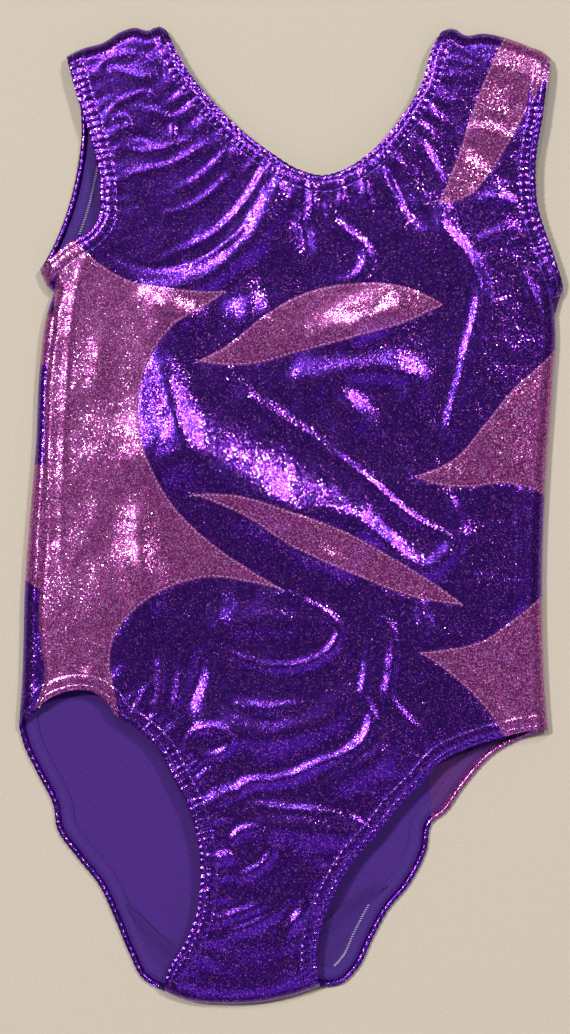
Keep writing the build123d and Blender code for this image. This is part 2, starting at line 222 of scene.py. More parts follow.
# ==== Folds, gathers and hems
# Folds in the front: steepness (below 0 for furrows), half width, routes of one or more
FOLDS_IN_CLOTH = [
    # The left strap
    (0.23, 2, [(-99, 227), (-95, 232), (-88, 235), (-78, 235)],
     [(-92, 228), (-85, 226), (-78, 223.5), (-70, 225)]),
    (0.23, 1.6, [(-95, 205), (-87, 211), (-80, 214.5), (-74, 216), (-70, 213)]),
    (0.23, 1.9, [(-80, 208), (-70, 206), (-62, 203), (-55, 207)]),
    (0.23, 1.6, [(-90, 203), (-83, 202), (-83, 198), (-88, 197)], [(-60, 200), (-60, 192)],
     [(-83, 187), (-70, 186), (-60, 189), (-52, 192)]),
    (0.23, 2.1, [(-92, 169), (-78, 175), (-66, 177.5), (-55, 182), (-44, 189)],
     [(-58, 166), (-50, 170), (-42, 176), (-34, 186)]),
    (0.23, 2, [(-64, 154), (-50, 158), (-40, 165), (-28, 177)]),
    (-0.22, 2, [(-85, 195), (-75, 193), (-66, 190)]),
    (-0.22, 2.1, [(-95, 137), (-80, 128), (-60, 127), (-45, 132), (-30, 142), (-16, 162)]),
    (0.23, 2, [(-64, 132), (-50, 138), (-40, 143), (-30, 152), (-22, 162), (-15, 176)]),
    (0.27, 8, [(-60, 116), (-40, 124), (-30, 132), (-20, 140), (-14, 150), (-10, 160), (-6, 172)]),
    # Below the neck
    (0.28, 2.6, [(2, 172), (-1, 162), (-4, 152)], [(10, 170), (11, 160), (10, 152)],
     [(24, 172), (26, 162), (24, 155)]),
    (0.28, 2.4, [(36, 178), (38, 168), (40, 158)], [(46, 184), (49, 172), (54, 162)]),
    (-0.28, 4, [(5, 162), (6, 148), (8, 136)]),
    (-0.28, 3.6, [(50, 178), (58, 162), (66, 150)]),
    (0.28, 3.2, [(19, 157), (23, 149), (31, 142), (37, 137), (39, 130), (36, 124), (26, 119)]),
    (0.28, 2.4, [(66, 190), (72, 180), (76, 170)]),
    # The right of the chest, down to the flank
    (0.32, 3.6, [
        (78, 156), (77, 149), (82, 141), (89, 134), (94, 124), (97, 112), (95, 100), (91, 85), (87, 68),
        (82, 50), (80, 36),
    ]),
    (0.28, 2.6, [(119, 122), (124, 112), (129, 101)], [(98, 160), (106, 162), (112, 160)]),
    (0.27, 3, [(94, 138), (103, 143), (112, 147)]),
    # The right strap
    (0.24, 3.2, [(86, 193), (96, 197), (104, 196), (112, 191)]),
    (-0.16, 5, [(92, 186), (100, 182), (106, 177)]),
    (0.16, 30, [(108, 270), (138, 252), (150, 215)]),
    # The middle of the chest, and the long folds down to the waist
    (0.27, 8, [(-24, 112), (-22, 102), (-22, 94)]),
    (0.28, 7, [(8, 72), (34, 74), (55, 74), (64, 68), (62, 60)]),
    (0.31, 7, [(18, 66), (28, 58), (34, 50), (40, 44)]),
    (0.3, 8, [(-66, 72), (-60, 54), (-54, 38)]),
    (0.28, 5, [(4, -15), (18, -22), (30, -28)]),
    (0.29, 17, [(-68, 36), (-46, 27), (-28, 17), (-10, 6), (8, -3), (24, -11)]),
    (0.31, 5, [(14, 6), (33, -2), (48, -13), (60, -24), (69, -27.5), (79, -21), (87, -11)]),
    (0.2, 4, [(-22, 60), (1, 45), (23, 30)]),
    (0.3, 2.4, [(23, 30), (40, 17), (51, 7), (64, -3), (74, -8), (80, -11)]),
    (0.28, 2.4, [(80, 10), (83, 3), (85, -4)]),
    (0.3, 3, [(65, -42), (68, -53), (69, -62)]),
    (0.34, 2.6, [
        (46, -53), (51, -59), (52.5, -67), (51.3, -81), (50, -93), (54, -99), (64, -110), (68, -118),
    ]),
    # The belly
    (0.34, 2.6, [
        (-3, -40), (9, -46), (19, -51.5), (24.5, -57.5), (23, -65), (16, -72), (7, -76), (-10, -77.5),
        (-21, -75), (-31, -71), (-39, -67),
    ]),
    (0.34, 2.8, [
        (40, -66), (38.5, -83), (37, -92), (41, -103), (38, -114), (28, -121.5), (10, -129), (1, -134),
        (-10, -136.5), (-22, -137), (-27, -144),
    ]),
    (0.34, 3.2, [(-25, -96), (-16, -99), (-6, -98.5), (4, -97)]),
    (0.34, 1.8, [(-27, -148), (-19, -148), (-6, -149.6), (7, -150.4), (19, -152), (30, -156)]),
    (0.34, 2.4, [(-67, -76), (-66, -86), (-70, -98)], [(-57, -80), (-57, -90), (-61, -100)]),
    (-0.34, 4, [(-46, -72), (-48, -84), (-52, -96)]),
    (0.34, 2.3, [
        (-53, -115), (-46, -109.5), (-40, -108.8), (-34, -111), (-30.5, -115), (-33, -120), (-39, -123),
        (-47, -121.5),
    ]),
    (0.34, 2.3, [
        (-30, -166), (-25.5, -161.5), (-19.5, -160), (-13.5, -163), (-10.5, -167.5), (-11, -175),
        (-15, -179), (-24, -184),
    ]),
    (0.34, 2.8, [(-38, -208), (-25, -203), (-12, -199)], [(-34, -213), (-18, -209), (-6, -201)]),
    (0.34, 3, [(-38, -176), (-30, -172)], [(10, -200), (2, -208), (-2, -216)]),
    (0.2, 8, [(-44, -106), (-20, -112), (4, -110), (24, -100)]),
    (0.15, 8, [(-36, -56), (-14, -54), (4, -57)]),
    (0.2, 3.4, [(14, -128), (-6, -134.5), (-24, -138), (-40, -150)]),
    (0.2, 9, [(22, -134), (40, -126), (52, -112)], [(-20, -156), (6, -160), (24, -164)]),
    # The sides
    (0.23, 1.7, [(-104, 134), (-109, 120), (-112, 104), (-114, 84), (-115.5, 60), (-117, 20), (-118, -20)]),
    (0.2, 5, [(-98, 86), (-99, 66)]),
    (0.34, 2.4, [(116, 12), (117, -18), (116, -46)]),
    (0.3, 9, [(-78, -4), (-77, -22), (-72, -40)]),
    (0.28, 7, [(-70, 112), (-60, 105), (-50, 101)]),
    (0.28, 9, [(14, 95), (33, 100), (56, 107)]),
    (0.2, 8, [(28, 86), (44, 106)]),
]

# How each opening's elastic gathers the cloth: ripple height, reach, usual spacing
GATHERS = {
    "neck": (0.5, 7.0, 9.5),
    "left_arm": (0.3, 4.5, 8.0),
    "right_arm": (0.25, 6.0, 11.0),
    "left_leg": (0.6, 9.0, 9.0),
    "right_leg": (0.5, 8.0, 11.0),
}

# How strongly each front hem is puckered, from the start of its edge to the end
PUCKERING = {
    "neck": [1.0, 1.0, 0.9, 0.7, 0.9, 1.0, 0.9],
    "left_arm": [0.3, 1.0, 1.1, 1.1, 1.1, 1.0],
    "right_arm": [0.8, 0.9, 0.9, 0.8, 0.5],
    "left_leg": [0.8, 1.2, 1.2, 1.2, 1.1, 1.0, 0.15, 0.1, 0.6],
    "right_leg": [0.1, 0.15, 0.4, 0.9, 1.2, 1.2, 1.2, 1.0],
}
BACK_PUCKERING = [0.55, 0.55]

# Hem cross-sections: depth in from the edge, height over the panel, share of the puckering
HEM_PROFILES = [
    [
        (0.0, -1.1, 0.4), (0.3, -0.4, 0.7), (0.9, -0.1, 1.0), (1.8, 0.0, 1.0), (2.6, -0.05, 0.7),
        (3.0, -0.2, 0.3), (3.4, -0.05, 0.9), (4.4, 0.08, 0.9), (5.6, 0.1, 0.3), (6.8, 0.08, 0.9),
        (7.8, -0.03, 0.9), (8.2, -0.2, 0.3), (8.6, -0.06, 0.7), (9.2, -0.1, 0.8), (9.9, -0.6, 0.5),
        (9.8, -1.7, 0.0), (6.0, -2.3, 0.0), (2.0, -2.3, 0.0), (0.4, -1.9, 0.2),
    ],
    [
        (0.0, 0.8, 0.6), (0.5, 0.1, 0.3), (4.0, 0.0, 0.1), (9.3, 0.0, 0.1), (9.9, 0.6, 0.1),
        (9.8, 1.5, 0.3), (9.0, 1.9, 0.4), (8.2, 1.9, 0.5), (7.2, 2.0, 0.6), (6.0, 2.0, 0.6),
        (4.9, 1.9, 0.6), (4.2, 1.5, 0.4), (3.4, 1.1, 0.3), (2.8, 1.5, 0.8), (2.0, 2.3, 1.2),
        (1.0, 2.4, 1.4), (0.3, 1.7, 1.0),
    ],
]
MATTE_SIDES = range(4, 12)  # the sides of a back hem's cross-section where the cloth's matte side is out

# In the same way, the elastics' cross-sections and the ladder's two rails
ELASTIC_PROFILES = [
    [(1.0, -0.9, 0), (8.8, -0.9, 0), (8.8, -1.5, 0), (1.0, -1.5, 0)],
    [(4.4, 0.5, 0), (8.8, 0.5, 0), (8.8, 1.1, 0), (4.4, 1.1, 0)],
]
LADDER_RAILS = [(5.0, 2.05, 0.6), (8.0, 2.05, 0.5)]

# The fine points of an opening's edge between which the back's serging shows
SERGED = {"left_arm": (60, 150), "right_leg": (330, 430)}


# ==== Lines in the plane
def unit(vectors):
    """The same directions, each of length 1."""
    return vectors / np.linalg.norm(vectors, axis=1)[:, None]


def distances(line):
    """How far along a line each of its points is."""
    return np.concatenate([[0], np.cumsum(np.linalg.norm(np.diff(line, axis=0), axis=1))])


def points_at(line, at, along=None):
    """Points at distances along a line. Its own points are 1 apart unless their distances are given."""
    along = np.arange(len(line)) if along is None else along
    return np.column_stack([np.interp(at, along, axis) for axis in line.T])


def resampled(line, count):
    """The same line with a number of evenly spaced points."""
    along = distances(line)
    return points_at(line, np.linspace(0, along[-1], count), along)


def smooth(points):
    """A smooth line through some points, as fine points."""
    through = np.array(points, float)
    steps = np.diff(through, axis=0)
    gaps = np.linalg.norm(steps, axis=1)[:, None]
    count = round(gaps.sum() / FINE) + 1
    if len(through) == 2:
        return resampled(through, max(2, count))
    slopes = steps / gaps
    inner = (slopes[:-1] * gaps[1:] + slopes[1:] * gaps[:-1]) / (gaps[:-1] + gaps[1:])
    tangents = np.vstack([2 * slopes[0] - inner[0], inner, 2 * slopes[-1] - inner[-1]])
    u = np.linspace(0, 1, 24, endpoint=False)[:, None]
    spans = [
        (2 * u**3 - 3 * u**2 + 1) * through[start]
        + (u**3 - 2 * u**2 + u) * gaps[start] * tangents[start]
        + (3 * u**2 - 2 * u**3) * through[start + 1]
        + (u**3 - u**2) * gaps[start] * tangents[start + 1]
        for start in range(len(gaps))
    ]
    return resampled(np.vstack([*spans, through[-1:]]), max(4, count))


def averaged(values, reach):
    """Values along a line, each the mean of its neighbours within a reach."""
    kernel = np.ones(2 * reach + 1) / (2 * reach + 1)
    padded = np.pad(values, ((reach, reach), (0, 0)), mode="edge")
    return np.stack([np.convolve(column, kernel, mode="valid") for column in padded.T], axis=1)


def inward(line):
    """The direction to the right of a line at each of its points, evened out."""
    along = averaged(np.gradient(line, axis=0), 8)
    return unit(np.column_stack([along[:, 1], -along[:, 0]]))


def offset(line, distance):
    """A line moved to its right."""
    return line + inward(line) * distance


def run_on(line, distance):
    """A line with both its ends run on straight."""
    steps = np.arange(1, round(distance / FINE) + 1)[:, None]
    first = (line[0] - line[3]) / 3
    last = (line[-1] - line[-4]) / 3
    return np.vstack([line[0] + first * steps[::-1], line, line[-1] + last * steps])


def ring_of(runs):
    """A closed ring from smooth runs that meet end to end, with the spacing of a mesh's edges."""
    return np.vstack([smooth(points)[:-1:STRIDE] for points in runs])


def inside(places, ring):
    """Which places lie in a ring."""
    found = np.zeros(len(places), bool)
    near = np.flatnonzero(np.all((places > ring.min(0)) & (places < ring.max(0)), axis=1))
    x, y = places[near].T
    hit = np.zeros(len(near), bool)
    for (ax, ay), (bx, by) in zip(ring, np.roll(ring, -1, axis=0)):
        if ay != by:
            crossing = np.flatnonzero((ay > y) != (by > y))
            hit[crossing] ^= x[crossing] < (bx - ax) * (y[crossing] - ay) / (by - ay) + ax
    found[near] = hit
    return found


class Line:
    """A line in the plane as fine points, ready to be searched."""

    def __init__(self, points):
        self.points = points
        self.tree = kdtree.KDTree(len(points))
        for number, (x, y) in enumerate(points):
            self.tree.insert((x, y, 0), number)
        self.tree.balance()

    def nearest(self, places):
        """Each place's distance to the line, and the number of the point that it is nearest to."""
        find = self.tree.find
        found = [find((x, y, 0)) for x, y in places.tolist()]
        return np.array([hit[2] for hit in found]), np.array([hit[1] for hit in found])

    def within(self, places, reach):
        """The numbers of the places in the box that reaches this far round the line."""
        low, high = self.points.min(0) - reach, self.points.max(0) + reach
        return np.flatnonzero(np.all((places > low) & (places < high), axis=1))


# ==== Sampled edges of the garment
FRONT, BACK = 0, 1
OPENING_EDGES = {
    "neck": (NECK, BACK_NECK),
    "left_arm": (LEFT_ARM, BACK_LEFT_ARM),
    "right_arm": (RIGHT_ARM, BACK_RIGHT_ARM),
    "left_leg": (LEFT_LEG, BACK_LEFT_LEG),
    "right_leg": (RIGHT_LEG, BACK_RIGHT_LEG),
}
ROUND = [
    LEFT_SHOULDER, "neck", RIGHT_SHOULDER, "right_arm", RIGHT_UNDERARM, RIGHT_SIDE, "right_leg", CROTCH,
    "left_leg", LEFT_SIDE, LEFT_UNDERARM, "left_arm",
]
FOLDED = [edge for edge in ROUND if not isinstance(edge, str)]
OPENINGS = {name: [Line(smooth(edge)) for edge in pair] for name, pair in OPENING_EDGES.items()}
FOLDED_EDGE = Line(np.vstack([smooth(points) for points in FOLDED]))
RINGS = [
    ring_of([OPENING_EDGES[edge][side] if isinstance(edge, str) else edge for edge in ROUND])
    for side in (FRONT, BACK)
]
SEAM_LINE = Line(smooth(LEFT_SEAM))
SEAM_RING = np.vstack([SEAM_LINE.points[::STRIDE], [(-160, LEFT_SEAM[-1][1]), (-160, LEFT_SEAM[0][1])]])
FRONT_RINGS = {name: ring_of(runs) for name, runs in FRONT_INSETS.items()}
BACK_RINGS = {name: ring_of(runs) for name, runs in BACK_INSETS.items()}
LINING_RING = ring_of(closed([LINING_EDGE], (60, -262), (-95, -262)))
LINING_LINE = Line(smooth(LINING_EDGE))
CLOTH_FOLDS = [
    (steepness, width, Line(smooth(route)))
    for steepness, width, *routes in FOLDS_IN_CLOTH
    for route in routes
]

# Grooves in the front, along the side seam and round the insets: depth, half width, line
GROOVES = [(0.9, 1.3, SEAM_LINE), (0.12, 1.0, Line(np.vstack(list(FRONT_RINGS.values()))))]


# ==== Heights
def uneven(places, size, seed):
    """Smooth noise from -1 to 1, its lumps of about a size."""
    return np.array([noise.noise((x, y, seed)) for x, y in (places / size).tolist()])


def uneven_along(along, size, seed):
    """The same noise at distances along a line."""
    return uneven(np.column_stack([along, 0 * along]), size, seed)


def dome(places):
    """The front's plain height: a low dome over the whole garment."""
    x, y = places.T
    across = 1 - (x / (HALF_WIDTH + MARGIN)) ** 4
    along = 1 - (y / (HALF_LENGTH + MARGIN)) ** 6
    return FOLD_HEIGHT + CROWN * np.clip(across, 0, 1) * np.clip(along, 0, 1)


def cloth_folds(places):
    """The folds given one by one, each a soft ridge or furrow that fades at its ends."""
    height = np.zeros(len(places))
    for steepness, width, line in CLOTH_FOLDS:
        near = line.within(places, 3 * width)
        distance, number = line.nearest(places[near])
        share = number / (len(line.points) - 1)
        fade = np.sin(math.pi * (FADED_ENDS + (1 - 2 * FADED_ENDS) * share)) ** 0.7
        fade *= 1 + 0.2 * uneven_along(number * FINE, 18, width + steepness)
        height[near] += steepness * width * fade * np.exp(-((distance / width) ** 2))
    return height


def gathers(places):
    """Ripples that run from each elastic edge into the front."""
    height = np.zeros(len(places))
    for seed, (opening, (rise, reach, spacing)) in enumerate(GATHERS.items()):
        line = OPENINGS[opening][FRONT]
        near = line.within(places, HEM_WIDTH + 4 * reach)
        distance, number = line.nearest(places[near])
        along = number * FINE
        wander = 3.5 * uneven(np.column_stack([along, distance]), 17, seed)
        strength = 0.65 + 0.6 * uneven_along(along, 23, seed + 9)
        grow = np.clip((distance - 0.75 * HEM_WIDTH) / (0.5 * HEM_WIDTH), 0.15, 1)
        fade = np.exp(-np.clip(distance - HEM_WIDTH, 0, None) / reach)
        height[near] += rise * strength * grow * fade * np.cos(2 * math.pi * (along + wander) / spacing)
    return height


def rounded(distance):
    """The share of its height that the cloth has reached at a distance from a folded edge."""
    left = np.clip(1 - distance / FOLD_RADIUS, 0, 1)
    return np.sqrt(1 - left**2)


def upper_height(places):
    """Height of the front's outer surface."""
    from_fold, _ = FOLDED_EDGE.nearest(places)
    crumple = sum(rise * uneven(places, size, seed) for rise, size, seed in CRUMPLE)
    relief = cloth_folds(places) + gathers(places) + crumple
    settled = np.clip(from_fold / (2 * FOLD_RADIUS), 0, 1)
    groove = sum(depth * np.exp(-((line.nearest(places)[0] / width) ** 2)) for depth, width, line in GROOVES)
    middle = FOLD_HEIGHT / 2
    return middle + (dome(places) - middle - groove) * rounded(from_fold) + relief * settled


def lower_height(places):
    """Height of the back panel's outer surface: on the ground, and curled up to the folded edges."""
    from_fold, _ = FOLDED_EDGE.nearest(places)
    lifted = 0.25 + 0.2 * uneven(places, 30, 2.5)
    return FOLD_HEIGHT / 2 * (1 - rounded(from_fold)) + lifted * rounded(from_fold)


HEIGHTS = (upper_height, lower_height)


# ==== Meshes
def piece(name, points, faces, materials, slots=None):
    """A mesh object from points in millimetres. It rides on the garment's one body."""
    mesh = bpy.data.meshes.new(name)
    mesh.from_pydata((points * MM).tolist(), [], faces)
    for material in materials:
        mesh.materials.append(material)
    if slots is not None:
        mesh.polygons.foreach_set("material_index", slots)
    mesh.shade_smooth()
    mesh.set_sharp_from_angle(angle=math.radians(50))
    made = bpy.data.objects.new(name, mesh)
    bpy.context.scene.collection.objects.link(made)
    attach(made, "root")
    return made


def normals_of(points, triangles):
    """A normal for each point of a triangle mesh."""
    a, b, c = (points[triangles[:, corner]] for corner in range(3))
    faces = np.cross(b - a, c - a)
    total = np.zeros_like(points)
    for corner in range(3):
        np.add.at(total, triangles[:, corner], faces)
    return total / np.maximum(np.linalg.norm(total, axis=1)[:, None], 1e-12)


def rim_edges(triangles):
    """The edges of a triangle mesh that only one triangle uses, each in that triangle's sense."""
    edges = np.vstack([triangles[:, [0, 1]], triangles[:, [1, 2]], triangles[:, [2, 0]]])
    _, first, uses = np.unique(np.sort(edges, axis=1), axis=0, return_index=True, return_counts=True)
    return edges[first[uses == 1]]


def cloth(name, points, triangles, thickness, materials):
    """A closed sheet of cloth: the outer surface as given, and an inner one a thickness behind it."""
    count = len(points)
    inner = points - normals_of(points, triangles) * thickness
    sides = [(b, a, a + count, b + count) for a, b in rim_edges(triangles).tolist()]
    faces = triangles.tolist() + (triangles[:, ::-1] + count).tolist() + sides
    slots = [0] * len(triangles) + [1] * len(triangles) + [0] * len(sides)
    return piece(name, np.vstack([points, inner]), faces, materials, slots)


def hexagonal(ring, step):
    """A grid of places in the box round a ring, each with six neighbours at a step."""
    low, high = ring.min(0), ring.max(0)
    rows = []
    for number, y in enumerate(np.arange(low[1], high[1], step * math.sqrt(3) / 2)):
        x = np.arange(low[0] + step / 2 * (number % 2), high[0], step)
        rows.append(np.column_stack([x, np.full(len(x), y)]))
    return np.vstack(rows)


def triangulated(side, lines, rings):
    """Places and triangles that fill a layer, with mesh edges along other lines and rings in it."""
    ring, grid = RINGS[side], GRIDS[side]
    chains = [np.vstack([closed, closed[:1]]) for closed in (ring, *rings)]
    chains += [np.vstack([line[::STRIDE], line[-1:]]) for line in lines]
    fixed = Line(np.vstack(chains))
    curled = np.vstack([
        offset(smooth(points), depth)[::STRIDE] for points in FOLDED for depth in CURL_DEPTHS
    ])
    curled = curled[fixed.nearest(curled)[0] > CLEAR]
    spread = hexagonal(ring, grid)
    spread = spread[fixed.nearest(spread)[0] > 0.65 * grid]
    spread = spread[FOLDED_EDGE.nearest(spread)[0] > CURL_DEPTHS[-1] + 0.5 * grid]
    loose = np.vstack([curled, spread])
    loose = loose[inside(loose, ring)]
    edges = []
    start = 0
    for chain in chains:
        edges += [(start + number, start + number + 1) for number in range(len(chain) - 1)]
        start += len(chain)
    given = [Vector(place) for place in np.vstack([fixed.points, loose])]
    found = geometry.delaunay_2d_cdt(given, edges, [], 0, 0.02, False)
    places = np.array([tuple(place) for place in found[0]])
    triangles = np.array([tuple(face) for face in found[2]])
    return places, triangles[inside(places[triangles].mean(axis=1), ring)]


def taken(points, triangles, chosen):
    """The chosen triangles, with only the points that they use."""
    kept, numbers = np.unique(triangles[chosen], return_inverse=True)
    return points[kept], numbers.reshape(-1, 3)


def joined(parts):
    """Several meshes as one. Each is its points and its faces."""
    faces = []
    start = 0
    for points, part_faces in parts:
        faces += [tuple(corner + start for corner in face) for face in part_faces]
        start += len(points)
    return np.vstack([points for points, _ in parts]), faces


# ==== Bands along an edge
def band_ring(line, width):
    """The ring round a band along an edge, run on past both its ends."""
    outer = run_on(offset(line, -BEYOND), MARGIN)[::STRIDE]
    inner = run_on(offset(line, width), MARGIN)[::STRIDE]
    return np.vstack([outer, inner[::-1]])


def trimmed(line, depth, side, count):
    """A line at a depth in from an edge, from one folded edge to the other, with a number of points."""
    last = len(line) - 1
    places = line
    reach = np.array([0, last])
    if depth > 0.3:
        places = offset(run_on(line, MARGIN), depth)
        reach = np.flatnonzero(inside(places, RINGS[side]))[[0, -1]]
    start = (len(places) - len(line)) // 2
    settled = round(1.5 * MARGIN / FINE)
    at = np.interp(
        np.linspace(0, last, count),
        [0, settled, last - settled, last],
        [reach[0], start + settled, start + last - settled, reach[1]],
    )
    return points_at(places, at)


def strip(lines, first=0, last=None):
    """A closed tube over part of some lines that go round a cross-section, with both ends capped."""
    around = len(lines)
    points = np.stack([line[first:last] for line in lines], axis=1)
    rows = len(points)
    faces = []
    for row in range(rows - 1):
        for number in range(around):
            a = row * around + number
            b = row * around + (number + 1) % around
            faces.append((a, b, b + around, a + around))
    faces.append(tuple(range(around))[::-1])
    faces.append(tuple(range((rows - 1) * around, rows * around)))
    return points.reshape(-1, 3), faces


def puckers(along, opening, side, seed):
    """Height of the puckers along a hem, from -1 in the creases to 1 on the beads."""
    amounts = PUCKERING[opening] if side == FRONT else BACK_PUCKERING
    share = np.interp(along / along[-1], np.linspace(0, 1, len(amounts)), amounts)
    wander = 1.6 * uneven_along(along, 11, seed)
    bead = 2 * np.abs(np.cos(math.pi * (along + wander) / PUCKER)) - 1.1
    return bead * share * (0.85 + 0.5 * uneven_along(along, 9, seed + 3))


def hem_lines(opening, side, profile):
    """Lines round a cross-section of a hem or of something on it, from one folded edge to the other."""
    line = OPENINGS[opening][side].points
    count = round(len(line) * FINE / HEM_STEP) + 1
    along = np.linspace(0, len(line) * FINE, count)
    seed = 2.3 * sorted(OPENINGS).index(opening) + side
    lines = []
    for depth, above, share in profile:
        places = trimmed(line, depth, side, count)
        bead = puckers(along, opening, side, seed + (0 if depth < STITCH_DEPTHS[0] else 1.7))
        if depth < SCALLOP_REACH:
            pushed = SCALLOP * bead * (SCALLOP_REACH - depth) / SCALLOP_REACH
            places = places - inward(places) * pushed[:, None]
        height = HEIGHTS[side](places) + above + BEAD * share * bead
        lines.append(np.column_stack([places, np.maximum(height, 0.02)]))
    return lines


def stitches(line, length, pitch, radius):
    """Stitches along a line in space, each a short thread that dips at both its ends."""
    along = distances(line)
    parts = []
    for start in np.arange(STITCH_START, along[-1] - STITCH_START - length, pitch):
        at = start + length * np.array([0, 0.12, 0.5, 0.88, 1])
        spine = points_at(line, at, along)
        spine[:, 2] += radius * np.array([-0.8, 0.1, 0.45, 0.1, -0.8])
        parts.append(tube(spine, radius * np.array([0.45, 0.9, 1.0, 0.9, 0.45])))
    return parts


def halved(start, end):
    """The points of a short straight line, with its middle."""
    return np.array([start, (start + end) / 2, end])


def tube(spine, radii, around=6):
    """A closed tube along a short spine, thinner or thicker at each of its points."""
    along = unit(np.gradient(spine, axis=0))
    across = unit(np.cross(along, (0, 0, 1)))
    over = np.cross(across, along)
    lines = []
    for number in range(around):
        turn = 2 * math.pi * number / around
        lines.append(spine + (across * math.cos(turn) + over * math.sin(turn)) * radii[:, None])
    return strip(lines)


def flipped(mesh):
    """A mesh with its faces turned over."""
    points, faces = mesh
    return points, [face[::-1] for face in faces]


# ==== Materials
def linear(*screen):
    """A colour from screen values of 0 to 255."""
    parts = [value / 255 for value in screen]
    return *(part / 12.92 if part <= 0.04045 else ((part + 0.055) / 1.055) ** 2.4 for part in parts), 1


def new_material(name, **settings):
    """A material with its main shader set up, and the object coordinates in it."""
    made = bpy.data.materials.new(name)
    made.use_nodes = True
    tree = made.node_tree
    shader = tree.nodes["Principled BSDF"]
    for key, value in settings.items():
        shader.inputs[key.replace("_", " ")].default_value = value
    where = tree.nodes.new("ShaderNodeTexCoord").outputs["Object"]
    return made, tree, shader, where


def node(tree, kind, inputs, **properties):
    """A node: its properties, and its inputs by name or number, each a value or another node's output."""
    made = tree.nodes.new("ShaderNode" + kind)
    for key, value in properties.items():
        setattr(made, key, value)
    for key, value in inputs.items():
        if isinstance(value, bpy.types.NodeSocket):
            tree.links.new(value, made.inputs[key])
        else:
            made.inputs[key].default_value = value
    return made.outputs


def vector_node(tree, operation, inputs):
    """What an operation on vectors gives."""
    return node(tree, "VectorMath", inputs, operation=operation)["Vector"]


def ramp(tree, factor, stops):
    """The colour that a ramp gives for a factor. Its stops are places and screen colours."""
    made = tree.nodes.new("ShaderNodeValToRGB")
    elements = made.color_ramp.elements
    while len(elements) < len(stops):
        elements.new(0.5)
    for element, (place, colour) in zip(elements, stops):
        element.position = place
        element.color = linear(*colour)
    tree.links.new(factor, made.inputs["Fac"])
    return made.outputs["Color"]


def foil(name, stops, roughness, tilt, rare, grain, metallic, coat):
    """Spandex printed with foil: small flakes, each with its own tint and tilt, and a few tilted more."""
    made, tree, shader, where = new_material(name, Metallic=metallic, Coat_Weight=coat, Coat_Roughness=0.16)
    flakes = node(tree, "TexVoronoi", {"Vector": where, "Scale": 1 / (grain * MM)})
    parts = node(tree, "SeparateColor", {"Color": flakes["Color"]})
    tree.links.new(ramp(tree, parts["Red"], stops), shader.inputs["Base Color"])

    leaning = node(tree, "Math", {0: parts["Green"], 1: rare}, operation="POWER")["Value"]
    usual_and_most = {"To Min": 0.75 * tilt, "To Max": 1.1 * tilt}
    amount = node(tree, "MapRange", {"Value": leaning, **usual_and_most})["Result"]
    centred = vector_node(tree, "SUBTRACT", {0: flakes["Color"], 1: (0.5, 0.5, 0.5)})
    tilted = vector_node(tree, "SCALE", {0: centred, "Scale": amount})
    surface = node(tree, "NewGeometry", {})["Normal"]
    normal = vector_node(tree, "NORMALIZE", {0: vector_node(tree, "ADD", {0: surface, 1: tilted})})
    tree.links.new(normal, shader.inputs["Normal"])
    tree.links.new(normal, shader.inputs["Coat Normal"])

    patches = node(tree, "TexNoise", {"Vector": where, "Scale": 160.0, "Detail": 3.0})
    limits = {"To Min": roughness - 0.05, "To Max": roughness + 0.07}
    gloss = node(tree, "MapRange", {"Value": patches["Fac"], **limits})["Result"]
    tree.links.new(gloss, shader.inputs["Roughness"])
    return made


def knit(name, dark, light, sheen=0.02, rib=520.0):
    """Matte knitted cloth: fine ribs of stitches, a mottle and a soft sheen."""
    made, tree, shader, where = new_material(name, Roughness=0.8, Sheen_Weight=sheen, Sheen_Roughness=0.4)
    ribs = node(tree, "TexWave", {"Vector": where, "Scale": rib, "Distortion": 1.5, "Detail": 2.0})
    mottle = node(tree, "TexNoise", {"Vector": where, "Scale": 900.0, "Detail": 4.0})
    tree.links.new(ramp(tree, mottle["Fac"], [(0.3, dark), (0.75, light)]), shader.inputs["Base Color"])
    bump = node(tree, "Bump", {"Height": ribs["Fac"], "Strength": 0.25, "Distance": 0.0002})
    tree.links.new(bump["Normal"], shader.inputs["Normal"])
    return made


def thread(name, dark, light):
    """Twisted thread."""
    made, tree, shader, where = new_material(name, Roughness=0.55, Sheen_Weight=0.15)
    twist = node(
        tree, "TexWave", {"Vector": where, "Scale": 900.0, "Distortion": 2.0}, bands_direction="DIAGONAL",
    )
    tree.links.new(ramp(tree, twist["Fac"], [(0.2, dark), (0.8, light)]), shader.inputs["Base Color"])
    return made


PURPLE = foil(
    "purple_foil",
    [
        (0.0, (56, 8, 130)), (0.5, (74, 12, 156)), (0.85, (108, 26, 180)),
        (0.95, (176, 70, 212)), (1.0, (252, 170, 250)),
    ],
    roughness=0.16, tilt=0.22, rare=8.0, grain=0.38, metallic=0.96, coat=0.34,
)
PINK = foil(
    "pink_glitter",
    [
        (0.0, (70, 13, 80)), (0.35, (126, 30, 120)), (0.65, (162, 48, 144)),
        (0.85, (206, 92, 176)), (0.95, (240, 170, 208)), (1.0, (160, 155, 238)),
    ],
    roughness=0.18, tilt=0.22, rare=4.0, grain=0.42, metallic=0.68, coat=0.85,
)
INSIDE = knit("matte_inside", (47, 3, 96), (69, 7, 130))
INSIDE_PINK = knit("matte_inside_pink", (62, 10, 88), (89, 23, 115))
LINING_KNIT = knit("lining_knit", (42, 3, 88), (63, 7, 121))
STITCHING = thread("topstitch_thread", (42, 14, 98), (72, 36, 142))
# The inset stitches are real, but their pale pinkish-white colour is painted highlight that stands in for
# their glints.
INSET_THREAD_PAINTED_GLINT = thread("inset_thread_painted_glint", (150, 84, 165), (218, 160, 214))
SERGING = thread("overlock_thread", (160, 150, 190), (225, 218, 235))
RUBBER = knit("elastic_webbing", (170, 168, 165), (225, 222, 216), 0.1, rib=300.0)

